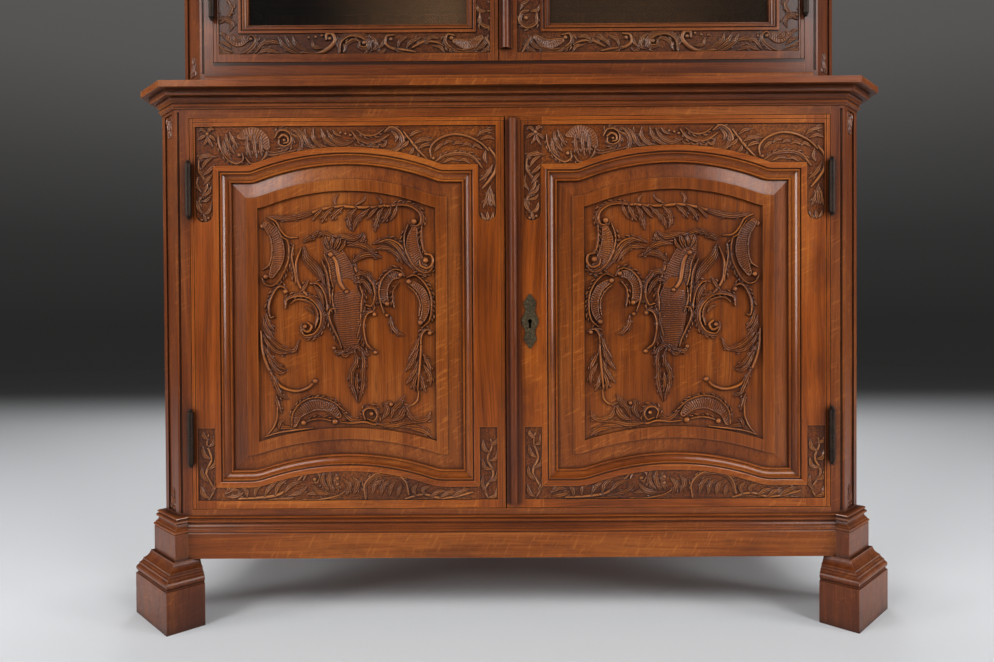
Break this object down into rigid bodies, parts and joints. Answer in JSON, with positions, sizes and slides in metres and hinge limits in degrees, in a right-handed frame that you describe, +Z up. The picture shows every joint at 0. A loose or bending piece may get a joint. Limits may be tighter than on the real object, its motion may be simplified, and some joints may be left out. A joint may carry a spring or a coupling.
{
  "type": "china cabinet",
  "caption": "Oak china cabinet with canted corners, arched panel doors below, glazed arched doors above, block feet and a moulded cornice.",
  "frame": {"origin": "on the floor, under the middle of the footprint that the front feet and the back boards bound", "axes": "+Z up, +X to the right as seen from the front, doors face -Y, back boards face +Y"},
  "size_m": [1.5086, 0.5644, 2.35],
  "materials": {
    "oak": "waxed oak, satin",
    "oak_dark": "dark stained oak, satin",
    "iron": "dark forged iron, worn",
    "bronze": "dark patinated cast brass",
    "glass": "clear thin window glass"
  },
  "bodies": {
    "case": {"front_left_foot": "oak_dark", "front_right_foot": "oak_dark", "back_feet": "oak_dark", "plinth_rails": "oak_dark", "base_moulding": "oak", "lower_left_post": "oak", "lower_right_post": "oak", "back_posts": "oak", "lower_sill_rail": "oak", "lower_head_rail": "oak", "lower_case_rails": "oak", "lower_side_panels": "oak", "lower_back_boards": "oak_dark", "lower_floor": "oak", "lower_shelf": "oak", "lower_battens": "oak_dark", "waist_moulding": "oak", "waist_board": "oak", "upper_left_post": "oak", "upper_right_post": "oak", "upper_sill_rail": "oak", "upper_foot_strip": "oak", "upper_head_rail": "oak", "upper_case_rails": "oak", "upper_side_panels": "oak", "upper_back_boards": "oak_dark", "upper_floor": "oak", "upper_top_boards": "oak_dark", "display_shelves": "oak", "upper_battens": "oak_dark", "cornice": "oak", "hinge_pin_halves": "iron"},
    "lower_left_door": {"lower_left_stiles": "oak", "lower_left_rails": "oak", "lower_left_panel": "oak", "lower_left_ironwork": "iron"},
    "lower_right_door": {"lower_right_stiles": "oak", "lower_right_rails": "oak", "lower_right_panel": "oak", "lower_right_hinges": "iron", "lower_astragal": "oak", "lower_lock_case": "iron", "lower_escutcheon": "bronze"},
    "upper_left_door": {"upper_left_stiles": "oak", "upper_left_rails": "oak", "upper_left_glass": "glass", "upper_left_glazing_beads": "oak", "upper_left_ironwork": "iron"},
    "upper_right_door": {"upper_right_stiles": "oak", "upper_right_rails": "oak", "upper_right_glass": "glass", "upper_right_glazing_beads": "oak", "upper_right_hinges": "iron", "upper_astragal": "oak", "upper_lock_case": "iron", "upper_escutcheon": "bronze"},
    "lower_left_bolt": {"lower_left_bolt": "iron"},
    "upper_left_bolt": {"upper_left_bolt": "iron"},
    "lower_lock_bolt": {"lower_lock_bolt": "iron"},
    "upper_lock_bolt": {"upper_lock_bolt": "iron"}
  },
  "joints": [
    {"name": "lower_left_door_hinge", "type": "hinge", "parent": "case", "child": "lower_left_door", "pos_m": [-0.6164, -0.22484, 0.597], "axis": [0, 0, -1], "range_deg": [0, 170]},
    {"name": "lower_right_door_hinge", "type": "hinge", "parent": "case", "child": "lower_right_door", "pos_m": [0.6164, -0.22484, 0.597], "axis": [0, 0, 1], "range_deg": [0, 170]},
    {"name": "lower_left_bolt_slide", "type": "slide", "parent": "lower_left_door", "child": "lower_left_bolt", "axis": [0, 0, 1], "range_m": [0, 0.012]},
    {"name": "lower_lock_bolt_slide", "type": "slide", "parent": "lower_right_door", "child": "lower_lock_bolt", "axis": [-1, 0, 0], "range_m": [0, 0.011]},
    {"name": "upper_left_door_hinge", "type": "hinge", "parent": "case", "child": "upper_left_door", "pos_m": [-0.5854, -0.18184, 1.6345], "axis": [0, 0, -1], "range_deg": [0, 170]},
    {"name": "upper_right_door_hinge", "type": "hinge", "parent": "case", "child": "upper_right_door", "pos_m": [0.5854, -0.18184, 1.6345], "axis": [0, 0, 1], "range_deg": [0, 170]},
    {"name": "upper_left_bolt_slide", "type": "slide", "parent": "upper_left_door", "child": "upper_left_bolt", "axis": [0, 0, 1], "range_m": [0, 0.012]},
    {"name": "upper_lock_bolt_slide", "type": "slide", "parent": "upper_right_door", "child": "upper_lock_bolt", "axis": [-1, 0, 0], "range_m": [0, 0.011]}
  ]
}
